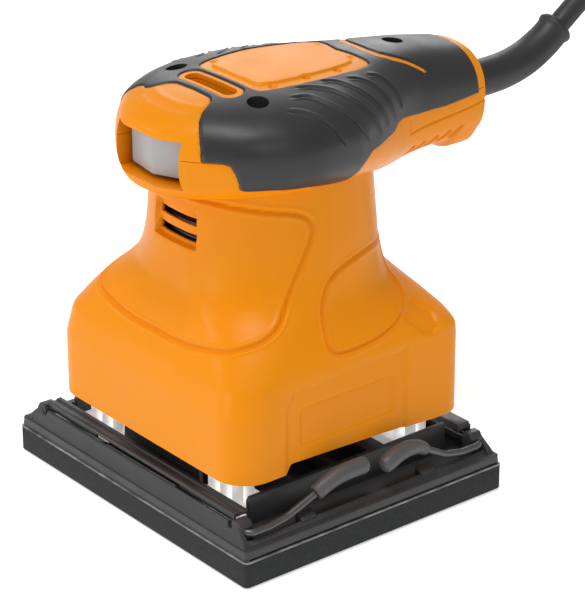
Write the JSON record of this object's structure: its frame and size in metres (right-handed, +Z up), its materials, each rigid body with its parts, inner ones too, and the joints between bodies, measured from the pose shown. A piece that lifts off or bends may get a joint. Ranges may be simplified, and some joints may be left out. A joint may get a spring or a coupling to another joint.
{
  "type": "orbital sander",
  "caption": "Palm-grip quarter-sheet orbital sander: bell motor housing, front rocker switch, orbiting rectangular pad with wire paper clamps, corded rear handle.",
  "frame": {"origin": "centre of the sanding face, on the underside of the foam pad", "axes": "+Z up through the motor shaft, +Y towards the handle and cord, -Y towards the switch, +X towards the side with the clamp levers"},
  "size_m": [0.112, 0.388, 0.1365],
  "materials": {
    "orange_shell": "satin moulded plastic",
    "soft_grip": "soft matt overmould",
    "steel": "zinc plated",
    "dark_plastic": "glass filled nylon",
    "bearing_steel": "ground",
    "laminations": "stamped laminations",
    "copper": "enamelled copper",
    "brass": "plain",
    "carbon": "graphite",
    "lead_insulation": "insulated lead",
    "guard_rubber": "moulded rubber",
    "cord_rubber": "rubber sheath",
    "cast_weight": "die cast",
    "plate_plastic": "moulded plate",
    "foam": "dense foam rubber",
    "white_foot": "flexible plastic",
    "wire_steel": "bent spring wire",
    "lever_rubber": "rubber sleeve",
    "jaw_steel": "black pressed steel",
    "switch_grey": "light grey plastic"
  },
  "bodies": {
    "housing": {"motor_housing": "orange_shell", "top_cover": "orange_shell", "soft_grip": "soft_grip", "cover_screws": "steel", "bearing_plate": "dark_plastic", "bearing_plate_screws": "steel", "lower_bearing": "bearing_steel", "upper_bearing": "bearing_steel", "bearing_bracket": "dark_plastic", "stator_core": "laminations", "stator_windings": "copper", "brush_holders": "brass", "carbon_brushes": "carbon", "brush_springs": "steel", "switch_body": "dark_plastic", "capacitor": "dark_plastic", "cord_clamp": "dark_plastic", "cord_clamp_screws": "steel", "inner_leads": "lead_insulation", "cord_guard": "guard_rubber", "cord_inner": "cord_rubber", "cord": "cord_rubber", "cord_coil": "cord_rubber", "cord_tail": "cord_rubber", "plug_body": "cord_rubber", "plug_pins": "brass"},
    "rotor": {"motor_shaft": "steel", "rotor_core": "laminations", "rotor_windings": "copper", "commutator": "copper", "cooling_fan": "dark_plastic", "counterweight": "cast_weight", "drive_screw": "steel"},
    "orbiting_pad": {"base_plate": "plate_plastic", "foam_pad": "foam", "pad_bearing": "bearing_steel", "bearing_retainer": "steel", "foot_front_left": "white_foot", "foot_front_right": "white_foot", "foot_rear_left": "white_foot", "foot_rear_right": "white_foot", "foot_screws": "steel"},
    "front_clamp_lever": {"front_lever": "wire_steel", "front_lever_grip": "lever_rubber"},
    "front_clamp_jaw": {"front_jaw": "jaw_steel"},
    "rear_clamp_lever": {"rear_lever": "wire_steel", "rear_lever_grip": "lever_rubber"},
    "rear_clamp_jaw": {"rear_jaw": "jaw_steel"},
    "rocker": {"switch_knob": "switch_grey"}
  },
  "joints": [
    {"name": "rotor_spin", "type": "hinge", "parent": "housing", "child": "rotor", "pos_m": [0, 0.001, 0.08], "axis": [0, 0, 1], "continuous": true},
    {"name": "pad_orbit", "type": "hinge", "parent": "rotor", "child": "orbiting_pad", "pos_m": [0, 0, 0.017], "axis": [0, 0, 1], "continuous": true},
    {"name": "front_lever_lift", "type": "hinge", "parent": "orbiting_pad", "child": "front_clamp_lever", "pos_m": [0, -0.044, 0.014], "axis": [1, 0, 0], "range_deg": [0, 80]},
    {"name": "front_jaw_open", "type": "hinge", "parent": "orbiting_pad", "child": "front_clamp_jaw", "pos_m": [0, -0.0449, 0.0178], "axis": [1, 0, 0], "range_deg": [0, 12]},
    {"name": "rear_lever_lift", "type": "hinge", "parent": "orbiting_pad", "child": "rear_clamp_lever", "pos_m": [0, 0.044, 0.014], "axis": [-1, 0, 0], "range_deg": [0, 80]},
    {"name": "rear_jaw_open", "type": "hinge", "parent": "orbiting_pad", "child": "rear_clamp_jaw", "pos_m": [0, 0.0449, 0.0178], "axis": [-1, 0, 0], "range_deg": [0, 12]},
    {"name": "switch_rock", "type": "hinge", "parent": "housing", "child": "rocker", "pos_m": [0, -0.0302, 0.1102], "axis": [0, 0, 1], "range_deg": [-28, 0]}
  ],
  "couplings": [
    {"joint": "pad_orbit", "follows": "rotor_spin", "ratio": -1},
    {"joint": "front_jaw_open", "follows": "front_lever_lift", "ratio": 0.15},
    {"joint": "rear_jaw_open", "follows": "rear_lever_lift", "ratio": 0.15}
  ]
}
